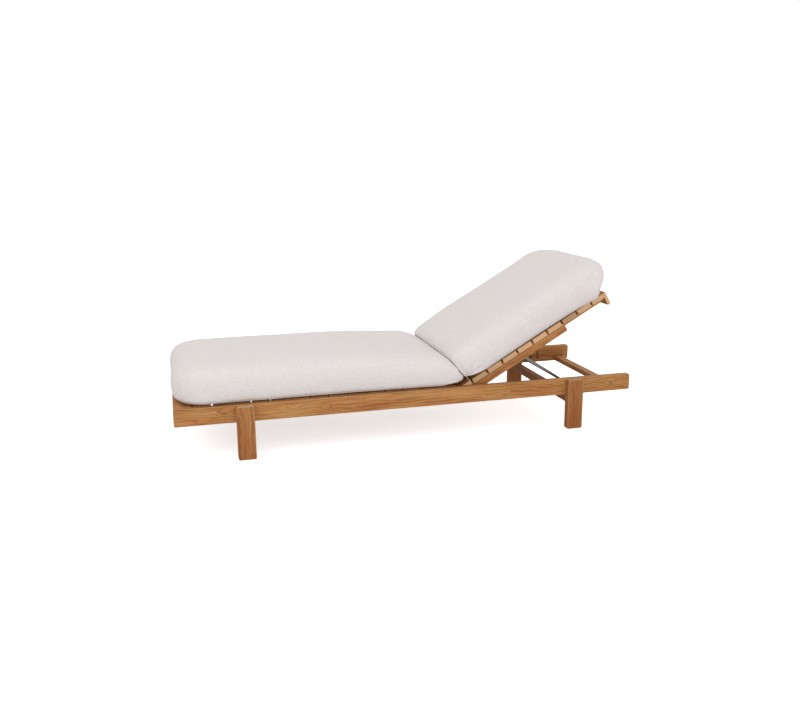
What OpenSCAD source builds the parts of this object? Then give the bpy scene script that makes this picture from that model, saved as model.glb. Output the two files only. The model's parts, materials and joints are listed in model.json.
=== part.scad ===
// Slatted teak sun lounger: two side rails carried by four legs, a fixed slatted seat,
// and a slatted back that folds up on two bolts and stands on a steel prop.
// Millimetres. +X runs from the foot end to the head end, +Z is up, the floor is z = 0
// and the origin lies on the floor under the middle of the frame.

/* [Slats] */
// Width of a slat
slat_w = 71; // [60:0.5:75]
// Thickness of a slat
slat_t = 22; // [18:0.5:26]
// Width of the last slat of the back, next to the grip board
head_slat_w = 61; // [50:1:90]
// Gap between each slat end and the side rail
slat_play = 1.4; // [1:0.1:3]
// Extra gap between seat and back, so that the back can swing
swing_gap = 13.8; // [13:0.1:20]

/* [Frame] */
// Length of the frame; the slats share it out, and the gaps between them take up the rest
frame_l = 2000; // [1950:1:2100]
// Width over the outer faces of the side rails
frame_w = 653; // [560:1:760]
// Height of the side rails' top edge above the floor
frame_top = 224; // [200:1:330]
// Thickness of a side rail
rail_t = 27; // [24:0.5:34]
// Depth of a side rail
rail_h = 72; // [70:1:90]
// Gap between the flat back and the head end of the rails
head_clear = 6; // [4:1:30]
// Radius of the softened corners of rails and legs
corner_r = 8; // [4:0.5:10]

/* [Legs and crosspieces] */
// Width of a leg along the rail
leg_w = 72; // [60:1:90]
// Thickness of a leg
leg_t = 32; // [30:0.5:40]
// Distance from the end of the frame to a leg
leg_inset = 244; // [150:1:260]
// How far a leg's top stays below the rail's top
leg_drop = 1; // [0:0.5:4]
// Width of the stretcher between two legs
stretcher_w = 28; // [22:1:40]
// Depth of the stretcher
stretcher_h = 37; // [28:1:50]
// Distance from the leg's outer edge to the stretcher
stretcher_set = 36; // [10:1:36]
// Width of a crossbar between the rails
crossbar_w = 38; // [30:1:50]
// Depth of a crossbar
crossbar_h = 22.5; // [18:0.5:26]
// Distance from the end of the frame to a crossbar
crossbar_inset = 47; // [42:1:70]

/* [Ledgers and rack] */
// Thickness of the ledger strip inside each rail
ledger_t = 25; // [22:0.5:30]
// Distance from the end of the frame to the end of a ledger
ledger_inset = 38; // [30:1:40]
// Width of a rack notch
notch_w = 16; // [13:0.5:20]
// Depth of a rack notch
notch_d = 34; // [30:0.5:36]
// Distance from one notch to the next
notch_pitch = 40; // [36:1:44]
// Distance from the back hinge to the notch in use
rack_reach = 513; // [500:1:520]
// How far the rack lies below the slats of the flat back
rack_drop = 0.5; // [0.3:0.1:1]

/* [Back] */
// Angle of the back above the seat
back_angle = 29.6; // [25:0.1:34]
// Depth of the hinge axis below the slats' top
hinge_drop = 39; // [37:0.5:41]
// Distance from the first back slat's edge to the hinge axis
hinge_set = 22; // [20:0.5:23]
// Thickness of a back bearer
bearer_t = 25; // [20:0.5:32]
// Depth of a bearer at the hinge end
bearer_h = 45; // [36:0.5:46]
// Depth of a bearer at the head end
bearer_thin_h = 19; // [12:0.5:20]
// Distance from the hinge to the step in the bearer
bearer_step = 545; // [500:1:560]
// Depth of the grip board that turns down at the head end
lip_h = 61; // [50:1:66]
// Thickness of the grip board
lip_t = 16; // [12:0.5:20]

/* [Prop] */
// Distance from the back hinge to the prop pivot, along the back
prop_reach = 311; // [304:1:316]
// Depth of the prop pivot below the back hinge's plane
prop_drop = 8; // [5:0.5:9]
// Diameter of the prop's rod
rod_d = 10; // [8:0.5:11]
// Thickness of a prop arm
arm_t = 5; // [3:0.5:6]
// Width of a prop arm
arm_w = 9; // [8:0.5:14]
// Radius of the eye at the top of a prop arm
eye_r = 9; // [8.5:0.5:12]
// Gap between each rod end and the rack
rod_play = 0.5; // [0.3:0.1:2]

/* [Fasteners] */
// Diameter of the back hinge bolts
hinge_bolt_d = 10; // [8:0.5:11]
// Diameter of the prop pivot bolts
prop_bolt_d = 8; // [6:0.5:9]
// Thickness of the washers beside the bearers
washer_t = 2; // [1.5:0.1:3]
// Diameter of the leg bolts
leg_bolt_d = 8; // [6:0.5:8]
// Diameter of the wood screws
screw_d = 4.5; // [4:0.1:5]
// Length of a slat screw
slat_screw_l = 40; // [34:1:44]
// Radial clearance of a turning bolt in its bore
bore_play = 0.05; // [0.03:0.01:0.1]
// Radial clearance of a fixed bolt or screw in its hole
hole_play = 0.1; // [0.05:0.05:0.3]

/* [Cushions] */
// Thickness of the cushions at their edge
cushion_t = 148; // [90:1:170]
// Rise of a cushion's top from its edge to its middle
crown = 9; // [4:1:20]
// How far the cushions reach past the rails' outer faces
cushion_over = 10; // [0:1:20]
// Radius of the seat cushion's corners at the foot end, seen from above
cushion_r = 140; // [80:1:170]
// Radius of the back cushion's corners at the head end, seen from above
head_cushion_r = 108; // [80:1:170]
// Radius of its corners at the crease between the cushions
crease_r = 64; // [40:1:100]
// How far the seat cushion's end leans out over its height, for each millimetre down
seat_lean = 0.7; // [0.5:0.05:0.8]
// The same for the lower end of the back cushion
back_lean = 0.1; // [0:0.05:0.15]
// Length of a cushion's leaning stretch
lean_run = 200; // [150:5:250]
// Depth of a cushion's rounded side, above its widest line
cushion_side = 74; // [40:1:80]
// How far a cushion's flat underside is set in from its widest line
cushion_foot = 40; // [30:1:80]
// How far a cushion's long side is drawn in at its middle
draw_in = 9; // [0:1:20]
// Gap between a cushion and the slats under it
cushion_play = 0.3; // [0.2:0.1:1]
// Distance from the seat cushion's end to the back hinge
seat_cushion_gap = 73; // [72:1:110]
// Distance from the back hinge to the back cushion's lower end
back_cushion_start = 24; // [22:1:40]
// How far the back cushion reaches past the grip board
back_cushion_over = 44; // [0:1:60]

/* [Hidden] */
seat_slats = 15;
back_slats = 9;
notches = 5;
// Notches between the flat position and the one in use
notches_behind = 2;
ledger_screws_per_side = 5;
arc_fn = 48;
fine = 0.01;
// Gap that the weld between a prop arm and the rod fills
weld_play = 0.02;
// Height of the rod above the bottom of its notch
rod_lift = 3;
// Distance from the rail's lower edge to the low leg bolts, and from the ledger's top to the top ones
low_bolt_rise = 8;
top_bolt_rise = 11;
// Wood left outside the end of a blind bolt or screw
leg_skin = 8;
rail_skin = 7;
bearer_skin = 7;
thin_skin = 3;
// Distance from the ledger's top to its screws
ledger_screw_drop = 12;
// Gap between the hinge bolt's head and the bearer
head_play = 0.3;

pitch = (frame_l - swing_gap - head_slat_w - lip_t - head_clear) / (seat_slats + back_slats);
slat_gap = pitch - slat_w;
hinge_from_foot = seat_slats * pitch + swing_gap + hinge_set;
head_slat_s = back_slats * pitch - hinge_set;
lip_s = head_slat_s + head_slat_w;
back_end = lip_s + lip_t;
foot_x = -frame_l / 2;
head_x = frame_l / 2;
hinge_x = foot_x + hinge_from_foot;
hinge_z = frame_top - hinge_drop;

rail_in = frame_w / 2 - rail_t;
rail_bottom = frame_top - rail_h;
slat_bottom = frame_top - slat_t;
slat_l = 2 * (rail_in - slat_play);
ledger_in = rail_in - ledger_t;
ledger_foot_x = foot_x + ledger_inset;
ledger_head_x = head_x - ledger_inset;
seat_end_x = foot_x + seat_slats * pitch - slat_gap;
ledger_mid_y = rail_in - ledger_t / 2;

rack_x = hinge_x + rack_reach;
notch_bottom = slat_bottom - notch_d;
rod_z = notch_bottom + rod_d / 2 + rod_lift;

bearer_out = ledger_in - washer_t;
bearer_in = bearer_out - bearer_t;
bearer_mid_y = (bearer_out + bearer_in) / 2;
slat_low_h = hinge_drop - slat_t;
bearer_low_h = slat_low_h - bearer_h;
bearer_end_r = bearer_h / 2;
arm_out = bearer_in - washer_t;
prop_head_y = arm_out - arm_t - hole_play;

// Prop pivot and rod, in the upright plane of the lounger
pivot_x = hinge_x + prop_reach * cos(back_angle) + prop_drop * sin(back_angle);
pivot_z = hinge_z + prop_reach * sin(back_angle) - prop_drop * cos(back_angle);
prop_l = norm([rack_x - pivot_x, rod_z - pivot_z]);
prop_angle = atan2(rod_z - pivot_z, rack_x - pivot_x);

leg_xs = [foot_x + leg_inset + leg_w / 2, head_x - leg_inset - leg_w / 2];
leg_h = frame_top - leg_drop;
stretcher_xs = [
    foot_x + leg_inset + stretcher_set + stretcher_w / 2,
    head_x - leg_inset - stretcher_set - stretcher_w / 2
];
crossbar_xs = [foot_x + crossbar_inset + crossbar_w / 2, head_x - crossbar_inset - crossbar_w / 2];

head_t = 5;
bolt_head_r = 6;
hinge_head_r = 9;
prop_head_r = 8;
washer_r = 11;
low_bolt_z = rail_bottom + low_bolt_rise;
top_bolt_z = slat_bottom + top_bolt_rise;
bolt_grip = leg_t - leg_skin;
hinge_grip = rail_t - rail_skin;
screw_r = screw_d / 2;
screw_head_r = screw_d;
frame_screw_bite = 20;
stretcher_screw_l = stretcher_h + frame_screw_bite;
crossbar_screw_l = crossbar_h + frame_screw_bite;
ledger_screw_l = ledger_t + rail_t - rail_skin;
ledger_screw_z = slat_bottom - ledger_screw_drop;
thin_screw_l = slat_t + bearer_thin_h - thin_skin;
// The ledger's screws sit under the gaps between slats, this many slats apart
ledger_screw_every = floor((seat_slats - 2) / (ledger_screws_per_side - 1));

teak = [0.72, 0.50, 0.30];
teak_light = [0.77, 0.56, 0.36];
linen = [0.87, 0.85, 0.83];
steel = [0.70, 0.71, 0.72];

// A flat rectangle from the origin, with round corners
module soft_rect(length, height, radius) {
    translate([radius, 0]) square([length - 2 * radius, height]);
    translate([0, radius]) square([length, height - 2 * radius]);
    for (x = [radius, length - radius], y = [radius, height - radius])
        translate([x, y]) circle(radius, $fn = arc_fn);
}

// Stands a flat shape up in the X-Z plane and gives it a thickness from y0 to y1
module upright(y0, y1) {
    translate([0, y1, 0]) rotate([90, 0, 0]) linear_extrude(y1 - y0) children();
}

// A cylinder along Y from y0 to y1
module cross_pin(radius, y0, y1) {
    translate([0, y0, 0]) rotate([-90, 0, 0]) cylinder(h = y1 - y0, r = radius, $fn = arc_fn);
}

// A countersunk wood screw that points down from the origin
module screw(length, play = 0) {
    translate([0, 0, -length]) cylinder(h = length, r = screw_r + play, $fn = arc_fn);
    translate([0, 0, -screw_head_r + screw_r])
        cylinder(h = screw_head_r - screw_r, r1 = screw_r + play, r2 = screw_head_r + play, $fn = arc_fn);
}

// Places its children on the left side, or mirrored on the right side
module on_side(side) {
    if (side == "left") children();
    else mirror([0, 1, 0]) children();
}

// Places its children in the back's own plane: X along the back, Z square to its slats
module on_back() {
    translate([hinge_x, 0, hinge_z]) rotate([0, -back_angle, 0]) children();
}

// Screws of one side that hold the seat slats down
module seat_screws_at_side(play = 0) {
    for (i = [0:seat_slats - 1])
        let (x = max(i * pitch + slat_w / 2, ledger_inset + screw_d * 2))
            translate([foot_x + x, -ledger_mid_y, frame_top]) screw(slat_screw_l, play);
}

// Screws of one side that hold the ledger to the rail
module ledger_screws_at_side(play = 0) {
    for (i = [0:ledger_screws_per_side - 1])
        let (x = (2 + i * ledger_screw_every) * pitch - slat_gap / 2)
            translate([foot_x + x, -ledger_in, ledger_screw_z])
                rotate([-90, 0, 0]) screw(ledger_screw_l, play);
}

// A bolt of one side that points outwards, with its head at y_head
module leg_bolt(y_head, play = 0) {
    cross_pin_out(leg_bolt_d / 2 + play, y_head, frame_w / 2 + bolt_grip + play);
    cross_pin_out(bolt_head_r + play, y_head, y_head + head_t);
}

// A cylinder of the left side between two distances from the middle
module cross_pin_out(radius, inner, outer) {
    cross_pin(radius, -outer, -inner);
}

module long_bolts_at_side(play = 0) {
    for (x = leg_xs) translate([x, 0, low_bolt_z]) leg_bolt(ledger_in, play);
}

module short_bolts_at_side(play = 0) {
    for (x = leg_xs) translate([x, 0, top_bolt_z]) leg_bolt(rail_in, play);
}

// The hinge bolt of one side: head inside the bearer, thread in the rail
module hinge_bolt_shank(play = 0) {
    translate([hinge_x, 0, hinge_z])
        cross_pin_out(hinge_bolt_d / 2 + play, bearer_in - head_play, rail_in + hinge_grip + play);
}

// The prop's pivot bolt of one side, in the back's plane: head inside the arm's eye, thread in the bearer
module prop_bolt_shank(play = 0) {
    translate([prop_reach, 0, -prop_drop])
        cross_pin_out(prop_bolt_d / 2 + play, prop_head_y, bearer_out - bearer_skin + play);
}

module stretcher_screws_at_side(play = 0) {
    for (x = stretcher_xs)
        translate([x, -frame_w / 2 + rail_t / 2, rail_bottom - stretcher_h])
            rotate([180, 0, 0]) screw(stretcher_screw_l, play);
}

module crossbar_screws_at_side(play = 0) {
    for (x = crossbar_xs)
        translate([x, -ledger_mid_y, rail_bottom]) rotate([180, 0, 0]) screw(crossbar_screw_l, play);
}

module rail(side) {
    color(teak) on_side(side) difference() {
        translate([foot_x, 0, rail_bottom])
            upright(-frame_w / 2, -rail_in) soft_rect(frame_l, rail_h, corner_r);
        long_bolts_at_side(hole_play);
        short_bolts_at_side(hole_play);
        hinge_bolt_shank(hole_play);
        ledger_screws_at_side(hole_play);
        stretcher_screws_at_side(hole_play);
    }
}

module leg(side, x) {
    color(teak) on_side(side) difference() {
        translate([x - leg_w / 2, 0, 0])
            upright(-frame_w / 2 - leg_t, -frame_w / 2) soft_rect(leg_w, leg_h, corner_r);
        long_bolts_at_side(hole_play);
        short_bolts_at_side(hole_play);
    }
}

// Outline of a ledger, seen from the side: a low stretch with a round boss leaves room
// for the first back slat, and the notches take the prop's rod
module ledger_outline() {
    relief_end = hinge_x;
    boss_r = slat_low_h - rack_drop;
    difference() {
        union() {
            translate([ledger_foot_x, rail_bottom])
                square([seat_end_x - ledger_foot_x, slat_bottom - rail_bottom]);
            translate([seat_end_x - fine, rail_bottom])
                square([relief_end - seat_end_x + 2 * fine, hinge_z - boss_r / 2 - rail_bottom]);
            translate([hinge_x, hinge_z]) circle(boss_r, $fn = arc_fn);
            translate([relief_end, rail_bottom])
                square([ledger_head_x - relief_end, slat_bottom - rack_drop - rail_bottom]);
        }
        for (i = [0:notches - 1])
            translate([rack_x + (notches_behind - i) * notch_pitch - notch_w / 2, notch_bottom])
                square([notch_w, notch_d + 1]);
        for (x = crossbar_xs)
            translate([x - crossbar_w / 2, rail_bottom - fine]) square([crossbar_w, crossbar_h + fine]);
    }
}

module ledger(side) {
    color(teak) on_side(side) difference() {
        upright(-rail_in, -ledger_in) ledger_outline();
        seat_screws_at_side(hole_play);
        long_bolts_at_side(hole_play);
        hinge_bolt_shank(hole_play);
        ledger_screws_at_side(hole_play);
        crossbar_screws_at_side(hole_play);
    }
}

module stretcher(x) {
    color(teak) difference() {
        translate([x - stretcher_w / 2, -frame_w / 2, rail_bottom - stretcher_h])
            cube([stretcher_w, frame_w, stretcher_h]);
        for (side = ["left", "right"]) on_side(side) stretcher_screws_at_side(hole_play);
    }
}

module crossbar(x) {
    color(teak) difference() {
        translate([x - crossbar_w / 2, -rail_in, rail_bottom])
            cube([crossbar_w, 2 * rail_in, crossbar_h]);
        for (side = ["left", "right"]) on_side(side) crossbar_screws_at_side(hole_play);
    }
}

module seat_slat(i) {
    color(teak_light) difference() {
        translate([foot_x + (i - 1) * pitch, -slat_l / 2, slat_bottom]) cube([slat_w, slat_l, slat_t]);
        for (side = ["left", "right"]) on_side(side) seat_screws_at_side(hole_play);
    }
}

// Outline of a bearer in the back's plane: deep and round at the hinge, shallow past the step
module bearer_outline() {
    step_r = corner_r;
    translate([0, bearer_low_h]) square([bearer_step - step_r, bearer_h]);
    translate([0, bearer_low_h + step_r]) square([bearer_step, bearer_h - step_r]);
    translate([bearer_step - step_r, bearer_low_h + step_r]) circle(step_r, $fn = arc_fn);
    translate([0, bearer_low_h + bearer_end_r]) circle(bearer_end_r, $fn = arc_fn);
    translate([0, slat_low_h - bearer_thin_h]) square([lip_s, bearer_thin_h]);
}

// Screws of one side that hold the back's slats to the bearer
module back_screws_at_side(play = 0) {
    for (i = [0:back_slats])
        translate([i * pitch - hinge_set + back_screw_at(i), -bearer_mid_y, hinge_drop])
            screw(i * pitch < bearer_step - pitch ? slat_screw_l : thin_screw_l, play);
}

// The screw sits in the middle of its slat, and past the hinge bolt on the first one
function back_screw_at(i) =
    i == 0 ? hinge_set + hinge_bolt_d + screw_d : (i < back_slats ? slat_w : head_slat_w) / 2;

module bearer(side) {
    color(teak) on_back() on_side(side) difference() {
        upright(-bearer_out, -bearer_in) bearer_outline();
        cross_pin(hinge_bolt_d / 2 + bore_play, -bearer_out - 1, -bearer_in + 1);
        prop_bolt_shank(hole_play);
        back_screws_at_side(hole_play);
    }
}

module back_slat(i) {
    color(teak_light) on_back() difference() {
        translate([(i - 1) * pitch - hinge_set, -slat_l / 2, slat_low_h]) cube([slat_w, slat_l, slat_t]);
        for (side = ["left", "right"]) on_side(side) back_screws_at_side(hole_play);
    }
}

module grip_screws_at_side(play = 0) {
    for (z = [hinge_drop - slat_t / 2])
        translate([back_end, -bearer_mid_y, z]) rotate([0, 90, 0]) screw(slat_screw_l, play);
}

module head_slat() {
    color(teak_light) on_back() difference() {
        translate([head_slat_s, -slat_l / 2, slat_low_h]) cube([head_slat_w, slat_l, slat_t]);
        for (side = ["left", "right"]) on_side(side) {
            back_screws_at_side(hole_play);
            grip_screws_at_side(hole_play);
        }
    }
}

module grip_board() {
    color(teak_light) on_back() difference() {
        translate([lip_s, -slat_l / 2, hinge_drop - lip_h]) cube([lip_t, slat_l, lip_h]);
        for (side = ["left", "right"]) on_side(side) grip_screws_at_side(hole_play);
    }
}

module grip_screws() {
    color(steel) on_back() for (side = ["left", "right"]) on_side(side) grip_screws_at_side();
}

module leg_bolts_long() {
    color(steel) for (side = ["left", "right"]) on_side(side) long_bolts_at_side();
}

module leg_bolts_short() {
    color(steel) for (side = ["left", "right"]) on_side(side) short_bolts_at_side();
}

module hinge_bolts() {
    color(steel) for (side = ["left", "right"]) on_side(side) {
        hinge_bolt_shank();
        translate([hinge_x, 0, hinge_z])
            cross_pin_out(hinge_head_r, bearer_in - head_play - head_t, bearer_in - head_play);
    }
}

module washer(inner_r, inner, outer) {
    difference() {
        cross_pin_out(washer_r, inner, outer);
        cross_pin_out(inner_r, inner - 1, outer + 1);
    }
}

module hinge_washers() {
    color(steel) for (side = ["left", "right"]) on_side(side)
        translate([hinge_x, 0, hinge_z])
            washer(hinge_bolt_d / 2 + hole_play, bearer_out + hole_play, ledger_in);
}

module seat_slat_screws() {
    color(steel) for (side = ["left", "right"]) on_side(side) seat_screws_at_side();
}

module ledger_screws() {
    color(steel) for (side = ["left", "right"]) on_side(side) ledger_screws_at_side();
}

module stretcher_screws() {
    color(steel) for (side = ["left", "right"]) on_side(side) stretcher_screws_at_side();
}

module crossbar_screws() {
    color(steel) for (side = ["left", "right"]) on_side(side) crossbar_screws_at_side();
}

module back_slat_screws() {
    color(steel) on_back() for (side = ["left", "right"]) on_side(side) back_screws_at_side();
}

// The prop's pivot bolts stand in blind holes of the bearers, with their heads inside the arms' eyes
module prop_bolts() {
    color(steel) on_back() for (side = ["left", "right"]) on_side(side) {
        prop_bolt_shank();
        translate([prop_reach, 0, -prop_drop])
            cross_pin_out(prop_head_r, prop_head_y - head_t, prop_head_y);
    }
}

module prop_washers() {
    color(steel) on_back() for (side = ["left", "right"]) on_side(side)
        translate([prop_reach, 0, -prop_drop])
            washer(prop_bolt_d / 2 + hole_play, arm_out + hole_play, bearer_in);
}

module prop_rod() {
    color(steel) translate([rack_x, 0, rod_z])
        cross_pin(rod_d / 2, -ledger_in + rod_play, ledger_in - rod_play);
}

// A flat arm with an eye round the pivot bolt and a collar round the rod
module prop_arm(side) {
    color(steel) on_side(side) translate([pivot_x, 0, pivot_z]) rotate([0, -prop_angle, 0]) difference() {
        union() {
            cross_pin_out(eye_r, arm_out - arm_t, arm_out);
            translate([0, -arm_out, -arm_w / 2]) cube([prop_l, arm_t, arm_w]);
            translate([prop_l, 0, 0]) cross_pin_out(eye_r, arm_out - arm_t, arm_out);
        }
        cross_pin_out(prop_bolt_d / 2 + bore_play, arm_out - arm_t - 1, arm_out + 1);
        translate([prop_l, 0, 0]) cross_pin_out(rod_d / 2 + weld_play, arm_out - arm_t - 1, arm_out + 1);
    }
}

// Points of a cushion's outline seen from above, from its middle, set in by a margin;
// the long sides are drawn in between the corners
side_points = 7;
end_points = 5;
corner_points = 7;
least_r = 12;
function corner_arc(cx, cy, r, from) = [
    for (i = [0:corner_points - 1])
        let (a = from + 90 * i / (corner_points - 1)) [cx + r * cos(a), cy + r * sin(a)]
];
function run(a, b, count, bend) = [
    for (i = [1:count])
        let (t = i / (count + 1), side = b - a, lift = bend * sin(180 * t))
            a + side * t + lift * [-side[1], side[0]] / norm(side)
];
function outline(length, width, corner, margin) =
    let (
        x = length / 2 - margin, y = width / 2 - margin,
        q = max(corner - margin, least_r), c = max(crease_r - margin, least_r),
        right_top = corner_arc(x - c, y - c, c, 0), left_top = corner_arc(q - x, y - q, q, 90),
        left_low = corner_arc(q - x, q - y, q, 180), right_low = corner_arc(x - c, c - y, c, 270)
    )
    concat(
        right_top, run([x - c, y], [q - x, y], side_points, draw_in),
        left_top, run([-x, y - q], [-x, q - y], end_points, draw_in / 3),
        left_low, run([q - x, -y], [x - c, -y], side_points, draw_in),
        right_low, run([x, c - y], [x, y - c], end_points, draw_in / 3)
    );

// Near the crease a cushion's end leans, so that the two ends lie along each other
function leaning(p, length, lean) =
    let (t = min(1, max(0, (p[0] - length / 2 + lean_run) / lean_run)))
    [p[0] - lean * (p[2] - cushion_t / 2) * t * t * (3 - 2 * t), p[1], p[2]];

// Side rings go from the flat underside round the bulging side to the top's edge,
// and the top rings climb the crown to the middle
side_rings = 10;
crown_rings = 4;
side_power = 0.78;
function side_ring(length, width, corner, k) =
    let (
        b = -90 + 180 * k / (side_rings - 1),
        depth = b < 0 ? cushion_foot : cushion_side,
        margin = depth * (1 - pow(cos(b) + 0.000001, side_power)),
        rise = cushion_t / 2 * (1 + sign(b) * pow(abs(sin(b)), side_power))
    )
    [for (q = outline(length, width, corner, margin)) [q[0], q[1], rise]];
function crown_ring(length, width, corner, k) =
    let (f = 1 - k / (crown_rings + 1))
    [
        for (q = outline(length, width, corner, cushion_side))
            [q[0] * f, q[1] * f, cushion_t + crown * (1 - f * f)]
    ];

// A cushion from its middle, with its crease end towards +X and round corners at the other end
module cushion(length, width, corner, lean) {
    n = 4 * corner_points + 2 * side_points + 2 * end_points;
    rings = [
        for (k = [0:side_rings - 1]) side_ring(length, width, corner, k),
        for (k = [1:crown_rings]) crown_ring(length, width, corner, k)
    ];
    count = len(rings);
    points = concat(
        [for (ring = rings) for (q = ring) leaning(q, length, lean)],
        [[0, 0, 0], [0, 0, cushion_t + crown]]
    );
    low = n * count;
    faces = concat(
        [for (k = [0:count - 2]) for (i = [0:n - 1]) [k * n + i, (k + 1) * n + i, k * n + (i + 1) % n]],
        [for (k = [0:count - 2]) for (i = [0:n - 1])
            [k * n + (i + 1) % n, (k + 1) * n + i, (k + 1) * n + (i + 1) % n]],
        [for (i = [0:n - 1]) [low, i, (i + 1) % n]],
        [for (i = [0:n - 1]) [low + 1, (count - 1) * n + (i + 1) % n, (count - 1) * n + i]]
    );
    polyhedron(points, faces, convexity = 4);
}

cushion_w = frame_w + 2 * cushion_over;
seat_cushion_l = hinge_from_foot - seat_cushion_gap;
back_cushion_l = back_end + back_cushion_over - back_cushion_start;

module seat_cushion() {
    color(linen) translate([foot_x + seat_cushion_l / 2, 0, frame_top + cushion_play])
        cushion(seat_cushion_l, cushion_w, cushion_r, seat_lean);
}

module back_cushion() {
    color(linen) on_back()
        translate([back_cushion_start + back_cushion_l / 2, 0, hinge_drop + cushion_play])
            mirror([1, 0, 0]) cushion(back_cushion_l, cushion_w, head_cushion_r, -back_lean);
}

rail("left");  // left_rail
rail("right");  // right_rail
leg("left", leg_xs[0]);  // foot_left_leg
leg("right", leg_xs[0]);  // foot_right_leg
leg("left", leg_xs[1]);  // head_left_leg
leg("right", leg_xs[1]);  // head_right_leg
ledger("left");  // left_ledger
ledger("right");  // right_ledger
stretcher(stretcher_xs[0]);  // foot_stretcher
stretcher(stretcher_xs[1]);  // head_stretcher
crossbar(crossbar_xs[0]);  // foot_crossbar
crossbar(crossbar_xs[1]);  // head_crossbar
seat_slat(1);  // seat_slat_1
seat_slat(2);  // seat_slat_2
seat_slat(3);  // seat_slat_3
seat_slat(4);  // seat_slat_4
seat_slat(5);  // seat_slat_5
seat_slat(6);  // seat_slat_6
seat_slat(7);  // seat_slat_7
seat_slat(8);  // seat_slat_8
seat_slat(9);  // seat_slat_9
seat_slat(10);  // seat_slat_10
seat_slat(11);  // seat_slat_11
seat_slat(12);  // seat_slat_12
seat_slat(13);  // seat_slat_13
seat_slat(14);  // seat_slat_14
seat_slat(15);  // seat_slat_15
leg_bolts_long();
leg_bolts_short();
hinge_bolts();
hinge_washers();
seat_slat_screws();
ledger_screws();
stretcher_screws();
crossbar_screws();
seat_cushion();
bearer("left");  // left_bearer
bearer("right");  // right_bearer
back_slat(1);  // back_slat_1
back_slat(2);  // back_slat_2
back_slat(3);  // back_slat_3
back_slat(4);  // back_slat_4
back_slat(5);  // back_slat_5
back_slat(6);  // back_slat_6
back_slat(7);  // back_slat_7
back_slat(8);  // back_slat_8
back_slat(9);  // back_slat_9
head_slat();
grip_board();
grip_screws();
back_slat_screws();
prop_bolts();
prop_washers();
back_cushion();
prop_rod();
prop_arm("left");  // left_prop_arm
prop_arm("right");  // right_prop_arm
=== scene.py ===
# %% [markdown]
# # A teak sun lounger, dressed in Blender
# The imported CAD model is the fixed frame: its boards, bolts and joints say where everything
# is. This lesson turns those plain solids into oiled teak with softened edges, brushed steel
# and two thick cloth cushions, and never moves a CAD part.

# %% Load the frame, with a helper for a part's box
import json
import math
import random

import bmesh
import bpy
from mathutils import Matrix, Vector, noise
from mathutils.kdtree import KDTree


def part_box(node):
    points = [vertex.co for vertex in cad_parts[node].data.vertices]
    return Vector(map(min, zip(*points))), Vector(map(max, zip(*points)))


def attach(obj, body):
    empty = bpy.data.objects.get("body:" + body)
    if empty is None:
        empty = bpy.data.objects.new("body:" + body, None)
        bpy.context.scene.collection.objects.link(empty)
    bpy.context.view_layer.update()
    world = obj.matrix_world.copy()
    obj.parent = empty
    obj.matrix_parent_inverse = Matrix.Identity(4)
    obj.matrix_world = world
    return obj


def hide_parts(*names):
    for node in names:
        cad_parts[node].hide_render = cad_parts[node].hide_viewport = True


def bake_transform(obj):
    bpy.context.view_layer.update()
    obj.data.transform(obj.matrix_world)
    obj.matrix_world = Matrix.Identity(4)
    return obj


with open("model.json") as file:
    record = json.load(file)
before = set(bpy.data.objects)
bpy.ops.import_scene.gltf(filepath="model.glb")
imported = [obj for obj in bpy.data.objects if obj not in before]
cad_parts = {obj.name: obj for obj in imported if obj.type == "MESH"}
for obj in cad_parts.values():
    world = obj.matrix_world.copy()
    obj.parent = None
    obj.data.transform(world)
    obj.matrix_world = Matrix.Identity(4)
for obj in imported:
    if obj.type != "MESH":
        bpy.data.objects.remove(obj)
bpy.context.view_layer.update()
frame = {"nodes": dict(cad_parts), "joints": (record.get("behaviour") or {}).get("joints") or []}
nodes = frame["nodes"]
scene = bpy.context.scene

# %% [markdown]
# ## The camera
# The photograph was taken from the foot end's near side, a little above the cushions, with a
# normal lens. A camera could be steered by hand until the picture fits, but written numbers
# give the same picture each time. The three angles turn it the way a tripod head does: first
# round the upright axis, then down, then a slight roll.

# %% Camera
CAMERA_PLACE = Vector((-0.9574, -3.6441, 1.1937))
CAMERA_YAW, CAMERA_DOWN, CAMERA_ROLL = math.radians(14.918), math.radians(13.301), math.radians(-0.475)
LENS_MM, SENSOR_MM = 38.18, 36


def add_object(name, data):
    """Links a new object with this data into the scene."""
    made = bpy.data.objects.new(name, data)
    scene.collection.objects.link(made)
    return made


ahead = Vector((math.sin(CAMERA_YAW) * math.cos(CAMERA_DOWN),
                math.cos(CAMERA_YAW) * math.cos(CAMERA_DOWN), -math.sin(CAMERA_DOWN)))
side = ahead.cross(Vector((0, 0, 1))).normalized()
above = side.cross(ahead)
right = side * math.cos(CAMERA_ROLL) + above * math.sin(CAMERA_ROLL)
up = above * math.cos(CAMERA_ROLL) - side * math.sin(CAMERA_ROLL)
camera = add_object("camera", bpy.data.cameras.new("camera"))
camera.data.lens, camera.data.sensor_width = LENS_MM, SENSOR_MM
camera.matrix_world = Matrix.Translation(CAMERA_PLACE) @ Matrix((right, up, -ahead)).transposed().to_4x4()
scene.camera = camera
print("camera at", [round(v, 3) for v in camera.location])

# %% [markdown]
# ## Places taken from the frame
# The back folds on a hinge line, and its boards are straight only in the back's own plane.
# `BACK` carries a point from that plane (X along the back, Z square to its slats) to the
# scene, so a shape or a grain direction can be thought out flat and then tilted.

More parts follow.
